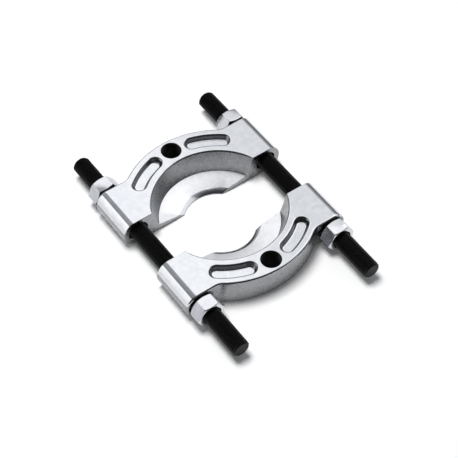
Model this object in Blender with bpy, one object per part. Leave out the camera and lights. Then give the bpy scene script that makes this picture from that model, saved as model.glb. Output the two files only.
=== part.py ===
"""Bearing separator: two ring halves that slide on two threaded studs and are drawn together by nuts.

Metres, +Z up. The studs run along Y and their middle is at the origin, with the jaws' flat
undersides on Z = 0. Each jaw is modelled once in its own frame, with its parting face on Y = 0 and
its ring towards +Y, and the front jaw is the same shape turned half round.
"""
import bmesh
import bpy
from math import asin, atan2, cos, pi, radians, sin, sqrt, tan

# Studs
STUD_DIAMETER = 0.0160
STUD_CHAMFER = 0.0013
THREAD_PITCH = 0.0020
THREAD_DEPTH = 0.00123
REAR_TAIL = 0.0332
FRONT_TAIL = 0.0411

# Nuts
NUT_WALL = 0.0037
NUT_HEIGHT = 0.0148
NUT_CHAMFER = radians(30)
FACE_STEP = 0.0003
COLLAR_HEIGHT = 0.0007
COLLAR_STEP = 0.00075
NUT_TURNS = {
    "nut_rear_left": radians(-7),
    "nut_rear_right": radians(7),
    "nut_front_left": radians(1),
    "nut_front_right": radians(3),
}

# Clearances
THREAD_GAP = 0.0003
SEAT_GAP = 0.0003
STUD_PLAY = 0.0015

# Jaws: the distance between their parting faces, then each one's bosses
OPENING = 0.0495
BOSS_WALL = 0.0053
BOSS_FLAT = 0.00145
EDGE_ROUND = 0.0020
RING_FILLET = 0.0100

# Ring, from its axis outwards. The axis lies behind the parting face by the setback.
SETBACK = 0.0220
NOTCH_DEPTH = 0.0080
BEVEL_WIDTH = 0.0050
WEB_WIDTH = 0.0165
WALL_LEAN = 0.0061
RING_WIDTH = 0.0256
RING_PROUD = 0.0167
MOUTH_LAND = 0.0048

# Web, from the underside upwards
EDGE_LIP = 0.0008
BEVEL_RISE = 0.0032
WEB_RISE = 0.0030

# Pockets and puller hole in the ring's top
POCKET_WALL = 0.0050
POCKET_DEPTH = 0.0046
POCKET_DRAFT = radians(22)
POCKET_RIM = 0.0022
POCKET_FOOT = 0.0018
POCKET_TO_HOLE = 0.00285
POCKET_TO_BORE = 0.00605
HOLE_DIAMETER = 0.0165
HOLE_CHAMFER = 0.0010
HOLE_OUTSET = 0.0005

# Facets
RING_STEPS = 120
BORE_STEPS = 48
THREAD_STEPS = 12
ARC_STEPS = 30
FILLET_STEPS = 5
CORNER_STEPS = 3
ROUND_STEPS = 4
SIDE_STEPS = 10
POCKET_STEPS = 10
CAP_STEPS = 8
RIM_STEPS = 3
FOOT_STEPS = 2
OVERRUN = 0.0010
WELD = 0.000001

# What follows from the sizes above
STUD_RADIUS = STUD_DIAMETER / 2
BORE_RADIUS = STUD_RADIUS + STUD_PLAY
BOSS_RADIUS = BORE_RADIUS + BOSS_WALL
JAW_HEIGHT = 2 * (BOSS_RADIUS - BOSS_FLAT)
STUD_LEVEL = JAW_HEIGHT / 2

NOTCH_RADIUS = SETBACK + NOTCH_DEPTH
BEVEL_RADIUS = NOTCH_RADIUS + BEVEL_WIDTH
FOOT_RADIUS = BEVEL_RADIUS + WEB_WIDTH
MOUTH_RADIUS = FOOT_RADIUS + WALL_LEAN
RING_RADIUS = MOUTH_RADIUS + RING_WIDTH
POCKET_RADIUS = MOUTH_RADIUS + RING_WIDTH / 2
BEVEL_LEVEL = EDGE_LIP + BEVEL_RISE
FOOT_LEVEL = BEVEL_LEVEL + WEB_RISE

BOSS_LENGTH = RING_RADIUS - SETBACK - RING_PROUD
STUD_OFFSET = sqrt(MOUTH_RADIUS ** 2 - SETBACK ** 2) + MOUTH_LAND + BORE_RADIUS

NUT_BORE_RADIUS = STUD_RADIUS + THREAD_GAP
NUT_APOTHEM = NUT_BORE_RADIUS + NUT_WALL
NUT_CORNER = NUT_APOTHEM / cos(pi / 6)
NUT_SEAT = BOSS_LENGTH + SEAT_GAP
JAW_REACH = NUT_SEAT + NUT_HEIGHT
STUD_LENGTH = FRONT_TAIL + JAW_REACH + OPENING + JAW_REACH + REAR_TAIL
REAR_PARTING = STUD_LENGTH / 2 - REAR_TAIL - JAW_REACH
FRONT_PARTING = REAR_PARTING - OPENING


def clear_scene():
    for item in list(bpy.data.objects):
        bpy.data.objects.remove(item)


def finish(name, colour, metallic, roughness):
    """A material of the piece's own."""
    material = bpy.data.materials.new(name + "_finish")
    material.use_nodes = True
    shader = material.node_tree.nodes["Principled BSDF"]
    shader.inputs["Base Color"].default_value = (*colour, 1)
    shader.inputs["Metallic"].default_value = metallic
    shader.inputs["Roughness"].default_value = roughness
    return material


def bright_plate(name):
    return finish(name, (0.62, 0.63, 0.65), 1.0, 0.24)


def black_oxide(name):
    return finish(name, (0.008, 0.008, 0.008), 0.0, 0.40)


def place(name, mesh, material, location, turn=(0, 0, 0), parent=None):
    """An object that shows a mesh, which other objects may share, in its own material."""
    item = bpy.data.objects.new(name, mesh)
    bpy.context.scene.collection.objects.link(item)
    item.parent = parent
    item.location = location
    item.rotation_euler = turn
    if not mesh.materials:
        mesh.materials.append(None)
    item.material_slots[0].link = "OBJECT"
    item.material_slots[0].material = material
    return item


def loft(name, rings):
    """A closed mesh through rings that have as many points each, with a flat cap at both ends."""
    count = len(rings[0])
    points = [point for ring in rings for point in ring]
    faces = [tuple(reversed(range(count)))]
    for level in range(len(rings) - 1):
        low = level * count
        high = low + count
        for k in range(count):
            after = (k + 1) % count
            faces.append((low + k, low + after, high + after, high + k))
    last = (len(rings) - 1) * count
    faces.append(tuple(range(last, last + count)))
    mesh = bpy.data.meshes.new(name)
    mesh.from_pydata(points, [], faces)
    mesh.validate()
    return mesh


def ring_of(centre, radius, level, steps):
    """Points of a level circle, anticlockwise from above."""
    x, y = centre
    angles = [2 * pi * k / steps for k in range(steps)]
    return [(x + radius * cos(a), y + radius * sin(a), level) for a in angles]


def upright(name, centre, stations, steps):
    """A turned shape about an upright axis, from pairs of level and radius, bottom first."""
    return loft(name, [ring_of(centre, radius, level, steps) for level, radius in stations])


def lying(name, axis_x, axis_z, stations, steps):
    """A turned shape about an axis along Y, from pairs of Y and radius, lowest Y first."""
    rings = []
    for y, radius in stations:
        angles = [2 * pi * k / steps for k in range(steps)]
        rings.append([(axis_x + radius * sin(a), y, axis_z + radius * cos(a)) for a in angles])
    return loft(name, rings)


def combine(mesh, others, operation):
    """The mesh after a Boolean with each of the others."""
    item = bpy.data.objects.new(mesh.name, mesh)
    bpy.context.scene.collection.objects.link(item)
    tools = []
    for other in others:
        tool = bpy.data.objects.new(other.name, other)
        bpy.context.scene.collection.objects.link(tool)
        tools.append(tool)
        step = item.modifiers.new(other.name, "BOOLEAN")
        step.operation = operation
        step.solver = "EXACT"
        step.object = tool
    result = bpy.data.meshes.new_from_object(item.evaluated_get(bpy.context.evaluated_depsgraph_get()))
    result.name = mesh.name
    for spent in [item] + tools:
        bpy.data.objects.remove(spent)
    return result


def smooth(mesh, sharp_angle):
    mesh.shade_smooth()
    mesh.set_sharp_from_angle(angle=sharp_angle)


def arc(centre, radius, start, end, steps):
    """Points of an arc in plan, with both of its ends."""
    angles = [start + (end - start) * k / steps for k in range(steps + 1)]
    return [(centre[0] + radius * cos(a), centre[1] + radius * sin(a)) for a in angles]


def jaw_levels():
    """Heights of the blank's sections: close together where its edges round over."""
    quarter = [k * pi / 2 / ROUND_STEPS for k in range(ROUND_STEPS)]
    bottom = [EDGE_ROUND * (1 - cos(a)) for a in quarter]
    reach = asin((STUD_LEVEL - EDGE_ROUND) / BOSS_RADIUS)
    sides = [reach * (2 * k / SIDE_STEPS - 1) for k in range(SIDE_STEPS + 1)]
    middle = [STUD_LEVEL + BOSS_RADIUS * sin(a) for a in sides]
    top = [JAW_HEIGHT - level for level in reversed(bottom)]
    return bottom + middle + top


def inset_at(level):
    """How far the rounded edges draw the outline in at a height."""
    depth = min(level, JAW_HEIGHT - level)
    if depth >= EDGE_ROUND:
        return 0.0
    return EDGE_ROUND - sqrt(EDGE_ROUND ** 2 - (EDGE_ROUND - depth) ** 2)


def ring_fillet():
    """Radius of the fillet between ring and boss, kept clear of the nut's seat, and its centre."""
    face = BOSS_LENGTH + SETBACK
    seat_edge = STUD_OFFSET - NUT_CORNER
    widest = (seat_edge ** 2 - RING_RADIUS ** 2 + face ** 2) / (2 * (RING_RADIUS - face))
    radius = min(RING_FILLET, widest)
    x = sqrt((RING_RADIUS + radius) ** 2 - (face + radius) ** 2)
    return radius, (x, BOSS_LENGTH + radius)


def jaw_outline(level):
    """One jaw's outline in plan at a height, anticlockwise from the parting face's right end."""
    inset = inset_at(level)
    side = STUD_OFFSET + sqrt(BOSS_RADIUS ** 2 - (level - STUD_LEVEL) ** 2)
    face = BOSS_LENGTH - inset
    corner = arc((side - EDGE_ROUND, face - EDGE_ROUND), EDGE_ROUND, 0, pi / 2, CORNER_STEPS)
    radius, (x, y) = ring_fillet()
    meeting = atan2(y + SETBACK, x)
    fillet = arc((x, y), radius + inset, -pi / 2, meeting - pi, FILLET_STEPS)
    crown = arc((0, -SETBACK), RING_RADIUS - inset, meeting, pi / 2, ARC_STEPS // 2)
    right = [(side, 0)] + corner + fillet + crown[1:]
    left = [(-px, py) for px, py in reversed(right[:-1])]
    return [(px, py, level) for px, py in right + left]


def cavity():
    """Everything inside the ring: the leaning wall, the web's top, its bevel and the notch."""
    lean = WALL_LEAN / (JAW_HEIGHT - FOOT_LEVEL)
    stations = [
        (-OVERRUN, NOTCH_RADIUS),
        (EDGE_LIP, NOTCH_RADIUS),
        (BEVEL_LEVEL, BEVEL_RADIUS),
        (FOOT_LEVEL, FOOT_RADIUS),
        (JAW_HEIGHT + OVERRUN, MOUTH_RADIUS + lean * OVERRUN),
    ]
    return upright("cavity", (0, -SETBACK), stations, RING_STEPS)


def stud_bore(x):
    stations = [(-OVERRUN, BORE_RADIUS), (BOSS_LENGTH + OVERRUN, BORE_RADIUS)]
    return lying("stud_bore", x, STUD_LEVEL, stations, BORE_STEPS)


def puller_hole():
    """The hole through the ring's crown, to its thread's minor diameter, with both mouths chamfered."""
    radius = HOLE_DIAMETER / 2
    wide = radius + HOLE_CHAMFER + OVERRUN
    stations = [
        (-OVERRUN, wide),
        (HOLE_CHAMFER, radius),
        (JAW_HEIGHT - HOLE_CHAMFER, radius),
        (JAW_HEIGHT + OVERRUN, wide),
    ]
    return upright("puller_hole", (0, POCKET_RADIUS + HOLE_OUTSET - SETBACK), stations, BORE_STEPS)


def pocket_section():
    """A pocket's half width and level at each step, from its floor's edge to its rim's outer edge."""
    rim_half = RING_WIDTH / 2 - POCKET_WALL
    rim = min(POCKET_RIM, rim_half / 3)
    foot = min(POCKET_FOOT, rim_half / 4)
    tilt = pi / 2 - POCKET_DRAFT
    wall_height = POCKET_DEPTH - (rim + foot) * (1 - cos(tilt))
    floor_half = rim_half - (rim + foot) * sin(tilt) - wall_height * tan(POCKET_DRAFT)
    section = []
    for k in range(FOOT_STEPS + 1):
        turn = tilt * k / FOOT_STEPS
        level = JAW_HEIGHT - POCKET_DEPTH + foot * (1 - cos(turn))
        section.append((floor_half + foot * sin(turn), level))
    for k in range(RIM_STEPS + 1):
        turn = tilt * (1 - k / RIM_STEPS)
        section.append((rim_half - rim * sin(turn), JAW_HEIGHT - rim * (1 - cos(turn))))
    return section


def pocket_outline(half, side):
    """A kidney's outline in plan, on the right (1) or on the left (-1), a half width from its middle."""
    rim_half = RING_WIDTH / 2 - POCKET_WALL
    mouth = HOLE_DIAMETER / 2 + HOLE_CHAMFER
    near = 2 * asin((mouth + POCKET_TO_HOLE + rim_half) / (2 * POCKET_RADIUS))
    far = asin((STUD_OFFSET - BORE_RADIUS - POCKET_TO_BORE - rim_half) / POCKET_RADIUS)
    start, end = pi / 2 - far, pi / 2 - near
    centre = (0, -SETBACK)
    start_cap = (POCKET_RADIUS * cos(start), POCKET_RADIUS * sin(start) - SETBACK)
    end_cap = (POCKET_RADIUS * cos(end), POCKET_RADIUS * sin(end) - SETBACK)
    outline = arc(centre, POCKET_RADIUS + half, start, end, POCKET_STEPS)
    outline += arc(end_cap, half, end, end + pi, CAP_STEPS)[1:]
    outline += arc(centre, POCKET_RADIUS - half, end, start, POCKET_STEPS)[1:]
    outline += arc(start_cap, half, start + pi, start + 2 * pi, CAP_STEPS)[1:-1]
    if side < 0:
        outline = [(-x, y) for x, y in reversed(outline)]
    return outline


def pocket(side):
    """A blind kidney-shaped pocket that follows the ring, with leaning walls and round edges."""
    section = pocket_section()
    section.append((section[-1][0], JAW_HEIGHT + OVERRUN))
    return loft("pocket", [[(x, y, level) for x, y in pocket_outline(half, side)]
                           for half, level in section])


def jaw_mesh():
    """One jaw, with its parting face on Y = 0 and its underside on Z = 0."""
    blank = loft("jaw", [jaw_outline(level) for level in jaw_levels()])
    cuts = [cavity(), puller_hole()]
    for side in (-1, 1):
        cuts += [stud_bore(side * STUD_OFFSET), pocket(side)]
    mesh = combine(blank, cuts, "DIFFERENCE")
    smooth(mesh, radians(20))
    return mesh


def nut_mesh():
    """A hexagon nut about local Y, its bearing collar starting at Y = 0 and a flat facing up."""
    corners = [pi / 3 * k for k in range(6)]
    ends = (COLLAR_HEIGHT, NUT_HEIGHT)
    prism = loft("nut", [[(NUT_CORNER * cos(a), y, -NUT_CORNER * sin(a)) for a in corners] for y in ends])
    face_radius = NUT_APOTHEM - FACE_STEP
    inwards = OVERRUN / tan(NUT_CHAMFER)
    margin = NUT_CORNER + OVERRUN
    slope = (margin - face_radius) * tan(NUT_CHAMFER)
    barrel = lying("barrel", 0, 0, [
        (COLLAR_HEIGHT - OVERRUN, face_radius - inwards),
        (COLLAR_HEIGHT + slope, margin),
        (NUT_HEIGHT - slope, margin),
        (NUT_HEIGHT + OVERRUN, face_radius - inwards),
    ], BORE_STEPS)
    collar_radius = NUT_APOTHEM - COLLAR_STEP
    collar = lying("collar", 0, 0, [(0, collar_radius), (NUT_HEIGHT / 2, collar_radius)], BORE_STEPS)
    bore = lying("bore", 0, 0, [(-OVERRUN, NUT_BORE_RADIUS), (NUT_HEIGHT + OVERRUN, NUT_BORE_RADIUS)],
                 BORE_STEPS)
    mesh = combine(prism, [barrel], "INTERSECT")
    mesh = combine(mesh, [collar], "UNION")
    mesh = combine(mesh, [bore], "DIFFERENCE")
    smooth(mesh, radians(20))
    return mesh


def stud_mesh():
    """A rod about Z with a right-hand thread of sharp ridges, tapered at 45 degrees at both ends."""
    half = STUD_LENGTH / 2
    profile = [(0, STUD_RADIUS - THREAD_DEPTH), (THREAD_PITCH / 2, STUD_RADIUS)]
    turns = int(STUD_LENGTH / THREAD_PITCH) + 4
    bm = bmesh.new()
    columns = []
    for j in range((turns + 1) * THREAD_STEPS + 1):
        angle = 2 * pi * (j % THREAD_STEPS) / THREAD_STEPS
        climb = THREAD_PITCH * (j / THREAD_STEPS - 2) - half
        column = []
        for rise, radius in profile:
            z = min(max(climb + rise, -half), half)
            r = min(radius, STUD_RADIUS - STUD_CHAMFER + half - abs(z))
            column.append(bm.verts.new((r * cos(angle), r * sin(angle), z)))
        columns.append(column)
    for j in range(turns * THREAD_STEPS):
        here = columns[j] + columns[j + THREAD_STEPS][:1]
        after = columns[j + 1] + columns[j + 1 + THREAD_STEPS][:1]
        for k in range(len(profile)):
            bm.faces.new((here[k], after[k], after[k + 1]))
            bm.faces.new((here[k], after[k + 1], here[k + 1]))
    bmesh.ops.remove_doubles(bm, verts=bm.verts, dist=WELD)
    bmesh.ops.delete(bm, geom=[v for v in bm.verts if not v.link_faces], context="VERTS")
    bmesh.ops.holes_fill(bm, edges=[e for e in bm.edges if e.is_boundary], sides=0)
    bmesh.ops.recalc_face_normals(bm, faces=bm.faces)
    mesh = bpy.data.meshes.new("stud")
    bm.to_mesh(mesh)
    bm.free()
    smooth(mesh, 2.2 * pi / THREAD_STEPS)
    return mesh


def build():
    clear_scene()
    jaw = jaw_mesh()
    nut = nut_mesh()
    stud = stud_mesh()
    for name, x in (("stud_left", -STUD_OFFSET), ("stud_right", STUD_OFFSET)):
        place(name, stud, black_oxide(name), (x, 0, STUD_LEVEL), (-pi / 2, 0, 0))
    rear = place("jaw_rear", jaw, bright_plate("jaw_rear"), (0, REAR_PARTING, 0))
    front = place("jaw_front", jaw, bright_plate("jaw_front"), (0, FRONT_PARTING, 0), (0, 0, pi))
    for name, carrier, x in (
        ("nut_rear_left", rear, -STUD_OFFSET),
        ("nut_rear_right", rear, STUD_OFFSET),
        ("nut_front_left", front, STUD_OFFSET),
        ("nut_front_right", front, -STUD_OFFSET),
    ):
        place(name, nut, bright_plate(name), (x, NUT_SEAT, STUD_LEVEL), (0, NUT_TURNS[name], 0), carrier)


build()
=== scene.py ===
"""The bearing separator in its full detail: softened edges, cut threads, plated and blackened steel.

Each piece stands for one CAD node and keeps its place and its size. Metres, +Z up, in the frame of
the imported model: the studs run along Y, and the jaws' undersides lie on Z = 0. The jaw and the nut
are each modelled once, in a frame of their own, and copies are moved into place.
"""
from math import asin, atan2, cos, hypot, pi, radians, sin, sqrt, tan

import bmesh
import bpy
from mathutils import Matrix, Vector


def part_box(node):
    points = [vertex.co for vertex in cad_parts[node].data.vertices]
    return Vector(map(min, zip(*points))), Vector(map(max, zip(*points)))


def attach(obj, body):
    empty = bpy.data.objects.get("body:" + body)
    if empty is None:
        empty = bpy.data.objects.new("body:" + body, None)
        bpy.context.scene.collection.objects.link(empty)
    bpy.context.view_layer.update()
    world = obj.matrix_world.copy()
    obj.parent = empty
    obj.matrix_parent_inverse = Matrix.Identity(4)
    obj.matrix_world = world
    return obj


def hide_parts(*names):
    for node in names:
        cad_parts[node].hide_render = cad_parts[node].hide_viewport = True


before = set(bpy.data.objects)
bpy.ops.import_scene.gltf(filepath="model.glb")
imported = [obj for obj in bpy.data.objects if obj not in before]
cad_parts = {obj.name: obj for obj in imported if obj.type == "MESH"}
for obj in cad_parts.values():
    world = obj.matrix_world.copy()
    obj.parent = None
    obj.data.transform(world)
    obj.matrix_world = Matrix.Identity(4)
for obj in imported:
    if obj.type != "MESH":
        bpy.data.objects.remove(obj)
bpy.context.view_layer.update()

# Sizes, as in the part's source. First the studs
STUD_PITCH = 0.0020
THREAD_DEPTH = 0.00123
STUD_RADIUS = 0.0080
STUD_CHAMFER = 0.0013

# A jaw's bosses and outline
BOSS_RADIUS = 0.0148
BORE_RADIUS = 0.0095
JAW_HEIGHT = 0.0267
STUD_LEVEL = JAW_HEIGHT / 2
EDGE_ROUND = 0.0020
RING_FILLET = 0.0100
BOSS_LENGTH = 0.0445
SETBACK = 0.0220  # from the parting face back to the ring's axis

# The ring and its web, by radius about the ring's axis and by level
NOTCH_RADIUS = 0.0300
BEVEL_RADIUS = 0.0350
FOOT_RADIUS = 0.0515
MOUTH_RADIUS = 0.0576
RING_RADIUS = 0.0832
EDGE_LIP = 0.0008
BEVEL_LEVEL = 0.0040
FOOT_LEVEL = 0.0070
MOUTH_LAND = 0.0048  # between the ring's mouth and the stud's bore, on the parting face
STUD_OFFSET = sqrt(MOUTH_RADIUS ** 2 - SETBACK ** 2) + MOUTH_LAND + BORE_RADIUS

# The pockets, which follow an arc about the ring's axis between two angles from its middle
POCKET_RADIUS = 0.0704
POCKET_HALF = 0.0078
POCKET_DEPTH = 0.0046
POCKET_DRAFT = radians(22)
POCKET_RIM = 0.0022
POCKET_FOOT = 0.0018
POCKET_NEAR = radians(16.2502)
POCKET_FAR = radians(38.8733)
POCKET_CLEAR = 0.0200  # every pocket lies farther than this from the parting face

# The puller holes, with a thread that the solids leave out
HOLE_OUT = 0.0489
HOLE_PITCH = 0.0015
HOLE_CREST = 0.00825
HOLE_ROOT = 0.0090
HOLE_CHAMFER = 0.0010
HOLE_CLEAR = 0.0105  # the radius that holds every edge of the hole
THREAD_OVERRUN = 0.0030
THREAD_END = 0.0070

# The nuts
NUT_BORE = 0.0083
NUT_APOTHEM = 0.0120
NUT_HEIGHT = 0.0148
NUT_CHAMFER = radians(30)
FACE_RADIUS = 0.0117
NUT_MOUTH = 0.0008
COLLAR_RADIUS = 0.01125
SEAT_GAP = 0.0003
NUT_SEAT = BOSS_LENGTH + SEAT_GAP

# Softened edges, which the CAD model leaves sharp. The mouth has the softest
TOP_BLEND = 0.0100
SOFTEST = 0.0014
MOUTH_FADE = 0.15  # how fast the mouth's rounding grows with the distance from the parting face
RIM_SOFT = 0.0009
FACE_SOFT = 0.0004
LIP_SOFT = 0.0002
NUT_SOFT = 0.00025

# The collar under a nut stands a little clearer than in the CAD model, as the photograph shows it
GAP_SHOWN = 0.0014

# Fineness
RING_STEPS = 288
BORE_STEPS = 96
THREAD_STEPS = 40
POCKET_STEPS = 30
CAP_STEPS = 24
ROUND_STEPS = 8
CROWN_STEPS = 60
FILLET_STEPS = 12
CORNER_STEPS = 6
SMOOTH_BELOW = radians(28)  # edges that turn by less are shaded smooth
SHARP_ABOVE = radians(24)  # edges that turn by more can be rounded

# How far a cutting tool reaches past what it cuts, and how close counts as lying on a face or an arc
OVERRUN = 0.0010
NEAR = 0.00005
ON_ARC = 0.0002

# Material slots of a jaw, the first three of them a nut's as well: plated zinc, painted shade in holes
# and recesses, zinc painted darker for shade, and zinc painted lighter for light on the web
PLATED, RECESS_SHADE, SHADED_SIDES, LIT_WEB = 0, 1, 2, 3

# Zinc finishes: the dark and the light of their clouds, and their roughness. All but the first are the
# plating painted darker or lighter for shade and light
BRIGHT_ZINC = ((0.60, 0.61, 0.635), (0.67, 0.675, 0.69), 0.15)
# Painted shade: darker zinc for the jaws' upright faces and the walls inside the ring and the pockets
SHADED_WALL_ZINC = ((0.27, 0.275, 0.285), (0.32, 0.325, 0.335), 0.28)
# Painted light: lighter zinc for the web
LIT_WEB_ZINC = ((0.73, 0.735, 0.75), (0.80, 0.80, 0.81), 0.30)
# Painted shade: darker zinc for the nuts' side flats
SHADED_SIDE_ZINC = ((0.44, 0.445, 0.48), (0.50, 0.505, 0.54), 0.20)

# The floor's own glow in the picture and in the metal, and the room's brightness: up behind the
# object, its share of that on the camera's side, and near the horizon
FLOOR_SIZE = 12.0
FLOOR_LIFT = 0.06
ROOM_BACK = 0.45
ROOM_FRONT = 0.12
ROOM_LOW = 0.06
ROOM_TINT = (0.92, 0.95, 1.0, 1)
TO_CAMERA = (-0.583, -0.812, 0)

# Lamps: name, place, width and length, and strength
MIRRORED_LAMPS = (
    ("overhead", (0.51, 0.65, 1.1), (0.98, 1.5), 0.62),
    ("overhead_left", (0.27, 0.65, 1.1), (0.46, 1.5), 0.37),
    ("right", (0.92, -0.08, 0.92), (0.9, 1.15), 0.8),
    ("side", (-1.08, 0.65, 0.40), (1.08, 0.85), 1.3),
)
KEY_LAMP = ("key", (-0.14, 0.40, 2.0), (0.8, 0.8), 20.5)

# The camera, fitted to the photograph
CAMERA_PLACE = (-0.4890, -0.6901, 1.0728)
AZIMUTH = radians(35.70)
ELEVATION = radians(51.87)
LENS = 123.70
SENSOR = 36.0


def add(mesh):
    item = bpy.data.objects.new(mesh.name, mesh)
    bpy.context.scene.collection.objects.link(item)
    return item


def loft(name, rings, endless=False):
    """A closed mesh through rings that have as many points each.

    Both ends get a flat cap, or else the last ring leads back to the first.
    """
    count = len(rings[0])
    points = [point for ring in rings for point in ring]
    faces = []
    for level in range(len(rings) if endless else len(rings) - 1):
        low = level * count
        high = (level + 1) % len(rings) * count
        for k in range(count):
            after = (k + 1) % count
            faces.append((low + k, low + after, high + after, high + k))
    if not endless:
        last = (len(rings) - 1) * count
        faces += [tuple(reversed(range(count))), tuple(range(last, last + count))]
    mesh = bpy.data.meshes.new(name)
    mesh.from_pydata(points, [], faces)
    return mesh


def upright(name, centre, stations, steps):
    """A turned shape about an upright axis, from pairs of level and radius, bottom first."""
    x, y = centre
    angles = [2 * pi * k / steps for k in range(steps)]
    return loft(name, [[(x + r * cos(a), y + r * sin(a), z) for a in angles] for z, r in stations])


def lying(name, axis_x, axis_z, stations, steps, endless=False):
    """A turned shape about an axis along Y, from pairs of Y and radius, lowest Y first."""
    angles = [2 * pi * k / steps for k in range(steps)]
    rings = [[(axis_x + r * sin(a), y, axis_z + r * cos(a)) for a in angles] for y, r in stations]
    return loft(name, rings, endless)


def threaded_rod(name, low, high, pitch, crest, root, end_radius):
    """A closed rod about Z with a right-hand thread, tapered at 45 degrees to a radius at both ends."""
    outline = ((-0.08, root), (0.08, root), (0.44, crest), (0.56, crest))
    profile = [(pitch * rise, radius) for rise, radius in outline]
    turns = int((high - low) / pitch) + 4
    bm = bmesh.new()
    grid = []
    for j in range((turns + 1) * THREAD_STEPS + 1):
        angle = 2 * pi * (j % THREAD_STEPS) / THREAD_STEPS
        column = []
        for offset, radius in profile:
            raw = low + pitch * (j / THREAD_STEPS - 2) + offset
            z = min(max(raw, low), high)
            r = min(radius, end_radius + min(z - low, high - z))
            column.append(bm.verts.new((r * cos(angle), r * sin(angle), z)))
        grid.append(column)
    for j in range(turns * THREAD_STEPS):
        here, after, above = grid[j], grid[j + 1], grid[j + THREAD_STEPS:j + THREAD_STEPS + 2]
        lower = list(zip(here, after))
        upper = lower[1:] + [(above[0][0], above[1][0])]
        for (a, b), (d, c) in zip(lower, upper):
            bm.faces.new((a, b, c, d))
    bmesh.ops.remove_doubles(bm, verts=bm.verts, dist=1e-7)
    loose = [v for v in bm.verts if not v.link_faces]
    bmesh.ops.delete(bm, geom=loose, context="VERTS")
    bmesh.ops.holes_fill(bm, edges=[e for e in bm.edges if e.is_boundary], sides=0)
    bmesh.ops.recalc_face_normals(bm, faces=bm.faces)
    mesh = bpy.data.meshes.new(name)
    bm.to_mesh(mesh)
    bm.free()
    return mesh


def evaluated(item):
    """The object's mesh with its modifiers applied, in place of the object."""
    result = bpy.data.meshes.new_from_object(item.evaluated_get(bpy.context.evaluated_depsgraph_get()))
    result.name = item.name
    bpy.data.objects.remove(item)
    return result


def combine(mesh, others, operation):
    """The mesh after a Boolean with each of the others."""
    item = add(mesh)
    tools = [add(other) for other in others]
    for tool in tools:
        step = item.modifiers.new(tool.name, "BOOLEAN")
        step.operation = operation
        step.solver = "EXACT"
        step.object = tool
    result = evaluated(item)
    for tool in tools:
        bpy.data.objects.remove(tool)
    return result


def soften(mesh, width_of, segments):
    """Rounds each sharp edge by the width that width_of gives it."""
    bm = bmesh.new()
    bm.from_mesh(mesh)
    bmesh.ops.remove_doubles(bm, verts=bm.verts, dist=2e-6)
    weight = bm.edges.layers.float.new("bevel_weight_edge")
    for edge in bm.edges:
        if len(edge.link_faces) == 2 and edge.calc_face_angle() > SHARP_ABOVE:
            edge[weight] = width_of(edge.verts[0].co, edge.verts[1].co) / SOFTEST
    bm.to_mesh(mesh)
    bm.free()
    item = add(mesh)
    bevel = item.modifiers.new("soften", "BEVEL")
    bevel.limit_method = "WEIGHT"
    bevel.width = SOFTEST
    bevel.segments = segments
    bevel.use_clamp_overlap = False
    return evaluated(item)


def settle_normals(mesh):
    """Keeps flat faces flat in the light: each face counts by its area where its normals meet."""
    item = add(mesh)
    weighting = item.modifiers.new("weighting", "WEIGHTED_NORMAL")
    weighting.keep_sharp = True
    return evaluated(item)


def smooth(mesh):
    mesh.shade_smooth()
    mesh.set_sharp_from_angle(angle=SMOOTH_BELOW)


def arc(centre, radius, start, end, steps):
    """Points of an arc in plan, with both of its ends."""
    angles = [start + (end - start) * k / steps for k in range(steps + 1)]
    return [(centre[0] + radius * cos(a), centre[1] + radius * sin(a)) for a in angles]


def boss_side(level):
    """How far the boss reaches out from the stud's axis at a height, with its flats blended in."""
    up = abs(level - STUD_LEVEL)
    centre_up = STUD_LEVEL - TOP_BLEND
    centre_out = sqrt((BOSS_RADIUS - TOP_BLEND) ** 2 - centre_up ** 2)
    tangent = centre_up * BOSS_RADIUS / (BOSS_RADIUS - TOP_BLEND)
    if up <= tangent:
        return sqrt(BOSS_RADIUS ** 2 - up ** 2)
    return centre_out + sqrt(max(TOP_BLEND ** 2 - (up - centre_up) ** 2, 0))


def jaw_outline(level):
    """One jaw's outline in plan at a height, anticlockwise from the parting face's right end."""
    depth = min(level, JAW_HEIGHT - level)
    inset = 0.0
    if depth < EDGE_ROUND:
        inset = EDGE_ROUND - sqrt(EDGE_ROUND ** 2 - (EDGE_ROUND - depth) ** 2)
    side = STUD_OFFSET + boss_side(level)
    face = BOSS_LENGTH - inset
    corner = arc((side - EDGE_ROUND, face - EDGE_ROUND), EDGE_ROUND, 0, pi / 2, CORNER_STEPS)
    y = BOSS_LENGTH + RING_FILLET
    x = sqrt((RING_RADIUS + RING_FILLET) ** 2 - (y + SETBACK) ** 2)
    meeting = atan2(y + SETBACK, x)
    fillet = arc((x, y), RING_FILLET + inset, -pi / 2, meeting - pi, FILLET_STEPS)
    crown = arc((0, -SETBACK), RING_RADIUS - inset, meeting, pi / 2, CROWN_STEPS)
    right = [(side, 0)] + corner + fillet + crown[1:]
    left = [(-px, py) for px, py in reversed(right[:-1])]
    return [(px, py, level) for px, py in right + left]


def jaw_blank():
    """A jaw before it is cut, through levels that lie closest where its outline changes fastest."""
    quarter = [k * pi / 16 for k in range(8)]
    bottom = [EDGE_ROUND * (1 - cos(a)) for a in quarter]
    reach = asin((STUD_LEVEL - EDGE_ROUND) / BOSS_RADIUS)
    middle = [STUD_LEVEL + BOSS_RADIUS * sin(reach * (k / 12 - 1)) for k in range(25)]
    top = [JAW_HEIGHT - level for level in reversed(bottom)]
    return loft("jaw", [jaw_outline(level) for level in bottom + middle + top])


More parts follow.
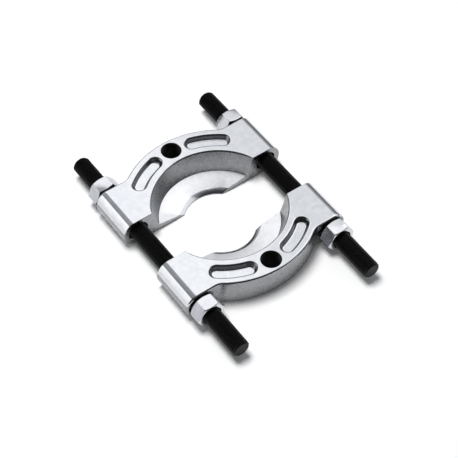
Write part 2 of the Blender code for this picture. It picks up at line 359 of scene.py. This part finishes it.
def cavity():
    """The space inside the ring, from the notch and its bevel up over the web to the mouth."""
    lean = (MOUTH_RADIUS - FOOT_RADIUS) / (JAW_HEIGHT - FOOT_LEVEL)
    stations = [
        (-OVERRUN, NOTCH_RADIUS),
        (EDGE_LIP, NOTCH_RADIUS),
        (BEVEL_LEVEL, BEVEL_RADIUS),
        (FOOT_LEVEL, FOOT_RADIUS),
        (JAW_HEIGHT + OVERRUN, MOUTH_RADIUS + lean * OVERRUN),
    ]
    mesh = upright("cavity", (0, -SETBACK), stations, RING_STEPS)
    # Half a step round, so that no corner of the polygon falls close to the parting face.
    axis = Matrix.Translation((0, -SETBACK, 0))
    mesh.transform(axis @ Matrix.Rotation(pi / RING_STEPS, 4, "Z") @ axis.inverted())
    return mesh


def stud_bore(x):
    stations = [(-OVERRUN, BORE_RADIUS), (BOSS_LENGTH + OVERRUN, BORE_RADIUS)]
    return lying("stud_bore", x, STUD_LEVEL, stations, BORE_STEPS)


def pocket_outline(side, half):
    """A pocket in plan, as wide as twice a half width, on one side of the ring's middle."""
    centre = (0, -SETBACK)
    start, end = pi / 2 - POCKET_FAR, pi / 2 - POCKET_NEAR
    start_cap, end_cap = [(POCKET_RADIUS * cos(a), POCKET_RADIUS * sin(a) - SETBACK)
                          for a in (start, end)]
    outline = arc(centre, POCKET_RADIUS + half, start, end, POCKET_STEPS)
    outline += arc(end_cap, half, end, end + pi, CAP_STEPS)[1:]
    outline += arc(centre, POCKET_RADIUS - half, end, start, POCKET_STEPS)[1:]
    outline += arc(start_cap, half, start + pi, start + 2 * pi, CAP_STEPS)[1:-1]
    if side < 0:
        outline = [(-x, y) for x, y in reversed(outline)]
    return outline


def pocket(side):
    """A pocket with leaning walls, a round foot and a round rim that runs out on the ring's top."""
    tilt = radians(90) - POCKET_DRAFT
    floor = JAW_HEIGHT - POCKET_DEPTH
    foot_top = floor + POCKET_FOOT * (1 - cos(tilt))
    rim_low = JAW_HEIGHT - POCKET_RIM * (1 - cos(tilt))
    rim_half = POCKET_HALF - POCKET_RIM * sin(tilt)
    foot_half = rim_half - (rim_low - foot_top) * tan(POCKET_DRAFT)
    levels = []
    for k in range(ROUND_STEPS + 1):
        turn = tilt * k / ROUND_STEPS
        half = foot_half - POCKET_FOOT * (sin(tilt) - sin(turn))
        levels.append((half, floor + POCKET_FOOT * (1 - cos(turn))))
    for k in range(ROUND_STEPS + 1):
        turn = tilt * (1 - k / ROUND_STEPS)
        half = POCKET_HALF - POCKET_RIM * sin(turn)
        levels.append((half, JAW_HEIGHT - POCKET_RIM * (1 - cos(turn))))
    levels.append((POCKET_HALF, JAW_HEIGHT + OVERRUN))
    return loft("pocket", [[(x, y, level) for x, y in pocket_outline(side, half)]
                           for half, level in levels])


def hole_thread():
    """What a tap takes out of the puller hole, longer than the hole at both ends."""
    mesh = threaded_rod("hole_thread", -THREAD_OVERRUN, JAW_HEIGHT + THREAD_OVERRUN, HOLE_PITCH,
                        HOLE_ROOT, HOLE_CREST, THREAD_END)
    mesh.transform(Matrix.Translation((0, HOLE_OUT, 0)))
    return mesh


def hole_mouths():
    """Both chamfers of the puller hole, as one waisted shape inside the thread's crests."""
    inner = HOLE_CREST - 0.0004
    mouth = HOLE_CREST + HOLE_CHAMFER
    deep = mouth - inner
    stations = [
        (-OVERRUN, mouth + OVERRUN),
        (deep, inner),
        (JAW_HEIGHT - deep, inner),
        (JAW_HEIGHT + OVERRUN, mouth + OVERRUN),
    ]
    return upright("hole_mouths", (0, HOLE_OUT), stations, BORE_STEPS)


def jaw_softness(a, b):
    """The width of rounding on a sharp edge of the jaw, from its two ends."""
    def both(test):
        return test(a) and test(b)

    def ring(radius):
        return both(lambda p: abs(hypot(p.x, p.y + SETBACK) - radius) < ON_ARC)

    def level(z):
        return both(lambda p: abs(p.z - z) < NEAR)

    def on_bore(p):
        out = hypot(abs(p.x) - STUD_OFFSET, p.z - STUD_LEVEL)
        return abs(out - BORE_RADIUS) < NEAR

    def at_hole(p):
        return hypot(p.x, p.y - HOLE_OUT) < HOLE_CLEAR

    def on_pocket(p):
        aside = abs(hypot(p.x, p.y + SETBACK) - POCKET_RADIUS)
        above_floor = p.z > JAW_HEIGHT - POCKET_DEPTH - NEAR
        return aside < POCKET_HALF + ON_ARC and above_floor and p.y > POCKET_CLEAR

    if at_hole(a) or at_hole(b) or both(on_pocket):
        return 0.0
    if level(0) and ring(NOTCH_RADIUS) or level(EDGE_LIP):
        return LIP_SOFT
    if level(FOOT_LEVEL) and ring(FOOT_RADIUS):
        return FACE_SOFT
    if level(BEVEL_LEVEL) and ring(BEVEL_RADIUS):
        return FACE_SOFT
    if both(lambda p: abs(p.y) < NEAR):
        return LIP_SOFT if both(lambda p: p.z < EDGE_LIP + NEAR) else FACE_SOFT
    if both(on_bore):
        return FACE_SOFT
    if level(JAW_HEIGHT) and ring(MOUTH_RADIUS):
        return min(SOFTEST, FACE_SOFT + MOUTH_FADE * min(a.y, b.y))
    if level(JAW_HEIGHT):
        return RIM_SOFT
    return 0.0


def jaw_mesh():
    """One jaw, with its parting face on Y = 0 and its underside on Z = 0."""
    cuts = [cavity(), hole_mouths(), hole_thread()]
    for side in (-1, 1):
        cuts += [stud_bore(side * STUD_OFFSET), pocket(side)]
    mesh = combine(jaw_blank(), cuts, "DIFFERENCE")
    mesh = soften(mesh, jaw_softness, 3)
    smooth(mesh)
    mesh = settle_normals(mesh)
    for face in mesh.polygons:
        face.material_index = finish_and_shade_at(face.center, face.normal.z)
    return mesh


def finish_and_shade_at(place, up):
    """The material slot of a face of the jaw, from its middle and how far it faces up, with painted
    shade in the puller hole, on the walls and on upright faces, and painted light on the web.
    """
    out = hypot(place.x, place.y + SETBACK)
    inside = out < MOUTH_RADIUS + NEAR or abs(out - POCKET_RADIUS) < POCKET_HALF
    # Painted shade on the thread and the mouths of the puller hole
    if hypot(place.x, place.y - HOLE_OUT) < HOLE_ROOT + NEAR:
        return RECESS_SHADE if abs(up) < 0.95 else PLATED
    # Painted light on the web
    if BEVEL_RADIUS < out < FOOT_RADIUS + NEAR and place.z < FOOT_LEVEL + NEAR and up > 0.1:
        return LIT_WEB
    # Painted shade on the walls inside the ring and the pockets, and below on every upright face
    if inside and place.z > FOOT_LEVEL and up < 0.87:
        return SHADED_SIDES
    return SHADED_SIDES if abs(up) < 0.3 else PLATED


def nut_mesh():
    """A hexagon nut about local Y, its bearing collar starting at Y = 0 and a flat facing up."""
    corner = NUT_APOTHEM / cos(pi / 6)
    corners = [pi / 3 * k for k in range(6)]
    prism = loft("nut", [[(corner * cos(a), y, -corner * sin(a)) for a in corners]
                         for y in (-OVERRUN, NUT_HEIGHT + OVERRUN)])
    margin = corner + OVERRUN
    slope = (margin - FACE_RADIUS) * tan(NUT_CHAMFER)
    mouth = NUT_BORE + NUT_MOUTH
    turned = lying("turned", 0, 0, [
        (0, mouth),
        (0, COLLAR_RADIUS),
        (GAP_SHOWN, COLLAR_RADIUS),
        (GAP_SHOWN, FACE_RADIUS),
        (GAP_SHOWN + slope, margin),
        (NUT_HEIGHT - slope, margin),
        (NUT_HEIGHT, FACE_RADIUS),
        (NUT_HEIGHT, mouth),
        (NUT_HEIGHT - NUT_MOUTH, NUT_BORE),
        (NUT_MOUTH, NUT_BORE),
    ], RING_STEPS, endless=True)
    mesh = combine(prism, [turned], "INTERSECT")
    mesh = soften(mesh, lambda a, b: NUT_SOFT, 2)
    smooth(mesh)
    # Painted shade: near-black on the collar, the inner face and the bore, and darker zinc on the side
    # flats
    for face in mesh.polygons:
        inner = face.center.y < GAP_SHOWN + NUT_SOFT or face.normal.y < -0.3
        if inner or hypot(face.center.x, face.center.z) < mouth:
            face.material_index = RECESS_SHADE
        elif abs(face.normal.y) < 0.3 and face.normal.z < 0.7:
            face.material_index = SHADED_SIDES
    return mesh


def stud_mesh(half):
    """A stud along Y, half its length to each side of Y = 0."""
    mesh = threaded_rod("stud", -half, half, STUD_PITCH, STUD_RADIUS, STUD_RADIUS - THREAD_DEPTH,
                        STUD_RADIUS - STUD_CHAMFER)
    mesh.transform(Matrix.Rotation(-pi / 2, 4, "X"))
    smooth(mesh)
    return mesh


def map_range(tree, start, end, low, high):
    """A node that takes start to low and end to high."""
    node = tree.nodes.new("ShaderNodeMapRange")
    sockets = ("From Min", "From Max", "To Min", "To Max")
    for socket, value in zip(sockets, (start, end, low, high)):
        node.inputs[socket].default_value = value
    return node


class Nodes:
    """A short way to wire a material's nodes."""

    def __init__(self, name):
        self.material = bpy.data.materials.new(name)
        self.material.use_nodes = True
        self.tree = self.material.node_tree
        self.shader = self.tree.nodes["Principled BSDF"]
        self.place = self.tree.nodes.new("ShaderNodeTexCoord").outputs["Object"]

    def link(self, source, target):
        self.tree.links.new(source, target)

    def noise(self, scale, detail, distortion=0.0):
        node = self.tree.nodes.new("ShaderNodeTexNoise")
        node.inputs["Scale"].default_value = scale
        node.inputs["Detail"].default_value = detail
        node.inputs["Distortion"].default_value = distortion
        self.link(self.place, node.inputs["Vector"])
        return node.outputs["Fac"]

    def ramp(self, source, stops):
        """A colour from a value, between two stops."""
        node = self.tree.nodes.new("ShaderNodeValToRGB")
        elements = node.color_ramp.elements
        for element, (position, colour) in zip(elements, stops):
            element.position = position
            element.color = (*colour, 1)
        self.link(source, node.inputs["Fac"])
        return node.outputs["Color"]

    def range(self, source, low, high):
        """A value between low and high, from a noise that is nearly all between 0.3 and 0.7."""
        node = map_range(self.tree, 0.3, 0.7, low, high)
        self.link(source, node.inputs["Value"])
        return node.outputs["Result"]

    def bump(self, source, strength, distance):
        node = self.tree.nodes.new("ShaderNodeBump")
        node.inputs["Strength"].default_value = strength
        node.inputs["Distance"].default_value = distance
        self.link(source, node.inputs["Height"])
        return node.outputs["Normal"]


def zinc(name, finish):
    """Zinc on steel, from bright to frosted, faintly clouded and faintly uneven, in copies painted
    darker or lighter for shade and light.
    """
    dark, light, roughness = finish
    n = Nodes(name)
    n.shader.inputs["Metallic"].default_value = 1.0
    clouds = n.ramp(n.noise(170, 3, 0.4), [(0.3, dark), (0.7, light)])
    n.link(clouds, n.shader.inputs["Base Color"])
    grain = n.range(n.noise(420, 3), roughness - 0.03, roughness + 0.03)
    n.link(grain, n.shader.inputs["Roughness"])
    waves = n.bump(n.noise(120, 2), 0.04, 0.0004)
    n.link(waves, n.shader.inputs["Normal"])
    return n.material


def painted_recess_shade(name):
    """Painted shade, near-black, on a puller hole's thread and a nut's bore, collar and inner face."""
    n = Nodes(name)
    n.shader.inputs["Metallic"].default_value = 0.6
    n.shader.inputs["Base Color"].default_value = (0.012, 0.011, 0.010, 1)
    n.link(n.range(n.noise(500, 3), 0.35, 0.5), n.shader.inputs["Roughness"])
    return n.material


def black_oxide(name):
    """Blackened steel, nearly matt and slightly uneven."""
    n = Nodes(name)
    n.shader.inputs["Specular IOR Level"].default_value = 0.15
    tone = n.ramp(n.noise(300, 4), [(0.35, (0.003, 0.003, 0.0033)), (0.7, (0.007, 0.007, 0.0075))])
    n.link(tone, n.shader.inputs["Base Color"])
    n.link(n.range(n.noise(700, 3), 0.32, 0.5), n.shader.inputs["Roughness"])
    n.link(n.bump(n.noise(2400, 3), 0.15, 0.0001), n.shader.inputs["Normal"])
    return n.material


def piece(name, mesh, place, body, node, materials):
    """A piece that stands for a CAD node: its own copy of a mesh, moved into place."""
    own = mesh.copy()
    own.name = name
    own.transform(place)
    for material in materials:
        own.materials.append(material)
    item = add(own)
    item.name = name
    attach(item, body)
    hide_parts(node)


def build_pieces():
    jaw = jaw_mesh()
    nut = nut_mesh()
    low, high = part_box("stud_left")
    stud = stud_mesh((high.y - low.y) / 2)
    # Painted shade for holes and recesses, and zinc painted darker for shade and lighter for light
    recess_shade = painted_recess_shade("painted_recess_shade")
    shaded_wall = zinc("jaw_wall_painted_shade", SHADED_WALL_ZINC)
    web = zinc("jaw_web_painted_light", LIT_WEB_ZINC)
    jaw_finish_and_shade = [zinc("jaw_plate", BRIGHT_ZINC), recess_shade, shaded_wall, web]
    nut_finish_and_shade = [zinc("nut_plate", BRIGHT_ZINC), recess_shade, zinc("nut_side_painted_shade", SHADED_SIDE_ZINC)]
    stud_finish = [black_oxide("black_oxide")]
    rear = Matrix.Translation((0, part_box("jaw_rear")[0].y, 0))
    front = Matrix.Translation((0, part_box("jaw_front")[1].y, 0)) @ Matrix.Rotation(pi, 4, "Z")
    piece("jaw_rear_forging", jaw, rear, "jaw_rear", "jaw_rear", jaw_finish_and_shade)
    piece("jaw_front_forging", jaw, front, "jaw_front", "jaw_front", jaw_finish_and_shade)
    for side, x in (("left", -STUD_OFFSET), ("right", STUD_OFFSET)):
        place = Matrix.Translation((x, 0, STUD_LEVEL))
        piece(f"stud_{side}_threaded", stud, place, "studs", f"stud_{side}", stud_finish)
    for name, jaw_place, x, turn in (
        ("nut_rear_left", rear, -STUD_OFFSET, -7),
        ("nut_rear_right", rear, STUD_OFFSET, 7),
        ("nut_front_left", front, STUD_OFFSET, 1),
        ("nut_front_right", front, -STUD_OFFSET, 3),
    ):
        place = jaw_place @ Matrix.Translation((x, NUT_SEAT, STUD_LEVEL))
        place = place @ Matrix.Rotation(radians(turn), 4, "Y")
        piece(f"{name}_hexagon", nut, place, name, name, nut_finish_and_shade)


def floor():
    """A pale floor that shows white to the camera and in the metal, and keeps the shadow."""
    mesh = bpy.data.meshes.new("floor")
    half = FLOOR_SIZE / 2
    mesh.from_pydata([(-half, -half, 0), (half, -half, 0), (half, half, 0), (-half, half, 0)], [],
                     [(0, 1, 2, 3)])
    item = add(mesh)
    material = bpy.data.materials.new("floor")
    material.use_nodes = True
    tree = material.node_tree
    shader = tree.nodes["Principled BSDF"]
    shader.inputs["Base Color"].default_value = (0.9, 0.9, 0.9, 1)
    shader.inputs["Roughness"].default_value = 1.0
    shader.inputs["Specular IOR Level"].default_value = 0.0
    shader.inputs["Emission Color"].default_value = (1, 1, 1, 1)
    rays = tree.nodes.new("ShaderNodeLightPath")
    seen = rays.outputs["Is Camera Ray"]
    for kind in ("Is Glossy Ray", "Is Transmission Ray"):
        either = tree.nodes.new("ShaderNodeMath")
        either.operation = "MAXIMUM"
        tree.links.new(seen, either.inputs[0])
        tree.links.new(rays.outputs[kind], either.inputs[1])
        seen = either.outputs[0]
    lift = tree.nodes.new("ShaderNodeMath")
    lift.operation = "MULTIPLY"
    lift.inputs[1].default_value = FLOOR_LIFT
    tree.links.new(seen, lift.inputs[0])
    tree.links.new(lift.outputs[0], shader.inputs["Emission Strength"])
    mesh.materials.append(material)


def softbox(name, place, size, strength):
    """A rectangular lamp that faces the object, with its width square to the studs."""
    lamp = bpy.data.lights.new(name, "AREA")
    lamp.shape = "RECTANGLE"
    lamp.size, lamp.size_y = size
    lamp.energy = strength * size[0] * size[1] * pi
    item = bpy.data.objects.new(name, lamp)
    bpy.context.scene.collection.objects.link(item)
    back = Vector(place).normalized()
    across = Vector((0, 1, 0)).cross(back).normalized()
    turn = Matrix((across, back.cross(across), back)).transposed().to_4x4()
    item.matrix_world = Matrix.Translation(place) @ turn
    return item


def studio():
    """A grey room, dark on the camera's side so that edges facing it draw dark lines in the metal."""
    world = bpy.data.worlds.new("studio")
    world.use_nodes = True
    tree = world.node_tree
    direction = tree.nodes.new("ShaderNodeTexCoord").outputs["Generated"]
    towards = tree.nodes.new("ShaderNodeVectorMath")
    towards.operation = "DOT_PRODUCT"
    towards.inputs[1].default_value = TO_CAMERA
    tree.links.new(direction, towards.inputs[0])
    dim = map_range(tree, -0.35, 0.30, 1.0, ROOM_FRONT)
    dim.interpolation_type = "SMOOTHSTEP"
    tree.links.new(towards.outputs["Value"], dim.inputs["Value"])
    height = tree.nodes.new("ShaderNodeSeparateXYZ")
    tree.links.new(direction, height.inputs[0])
    rise = map_range(tree, 0.10, 0.45, ROOM_LOW, ROOM_BACK)
    rise.interpolation_type = "SMOOTHSTEP"
    tree.links.new(height.outputs["Z"], rise.inputs["Value"])
    both = tree.nodes.new("ShaderNodeMath")
    both.operation = "MULTIPLY"
    tree.links.new(dim.outputs["Result"], both.inputs[0])
    tree.links.new(rise.outputs["Result"], both.inputs[1])
    background = tree.nodes["Background"]
    background.inputs["Color"].default_value = ROOM_TINT
    tree.links.new(both.outputs[0], background.inputs["Strength"])
    bpy.context.scene.world = world


def light():
    """Softboxes that show only in the metal, and a key for the matt surfaces and the shadow."""
    studio()
    for lamp in MIRRORED_LAMPS:
        softbox(*lamp).visible_diffuse = False
    softbox(*KEY_LAMP).visible_glossy = False


def camera():
    """The photograph's camera: a long lens from the front left, looking down."""
    data = bpy.data.cameras.new("camera")
    data.sensor_width = SENSOR
    data.lens = LENS
    data.clip_start, data.clip_end = 0.05, 30.0
    item = bpy.data.objects.new("camera", data)
    bpy.context.scene.collection.objects.link(item)
    level = cos(ELEVATION)
    look = Vector((sin(AZIMUTH) * level, cos(AZIMUTH) * level, -sin(ELEVATION)))
    right = Vector((cos(AZIMUTH), -sin(AZIMUTH), 0))
    up = right.cross(look)
    turn = Matrix((right, up, -look)).transposed().to_4x4()
    item.matrix_world = Matrix.Translation(CAMERA_PLACE) @ turn
    bpy.context.scene.camera = item


build_pieces()
floor()
light()
camera()
bpy.context.scene.view_settings.view_transform = "Standard"
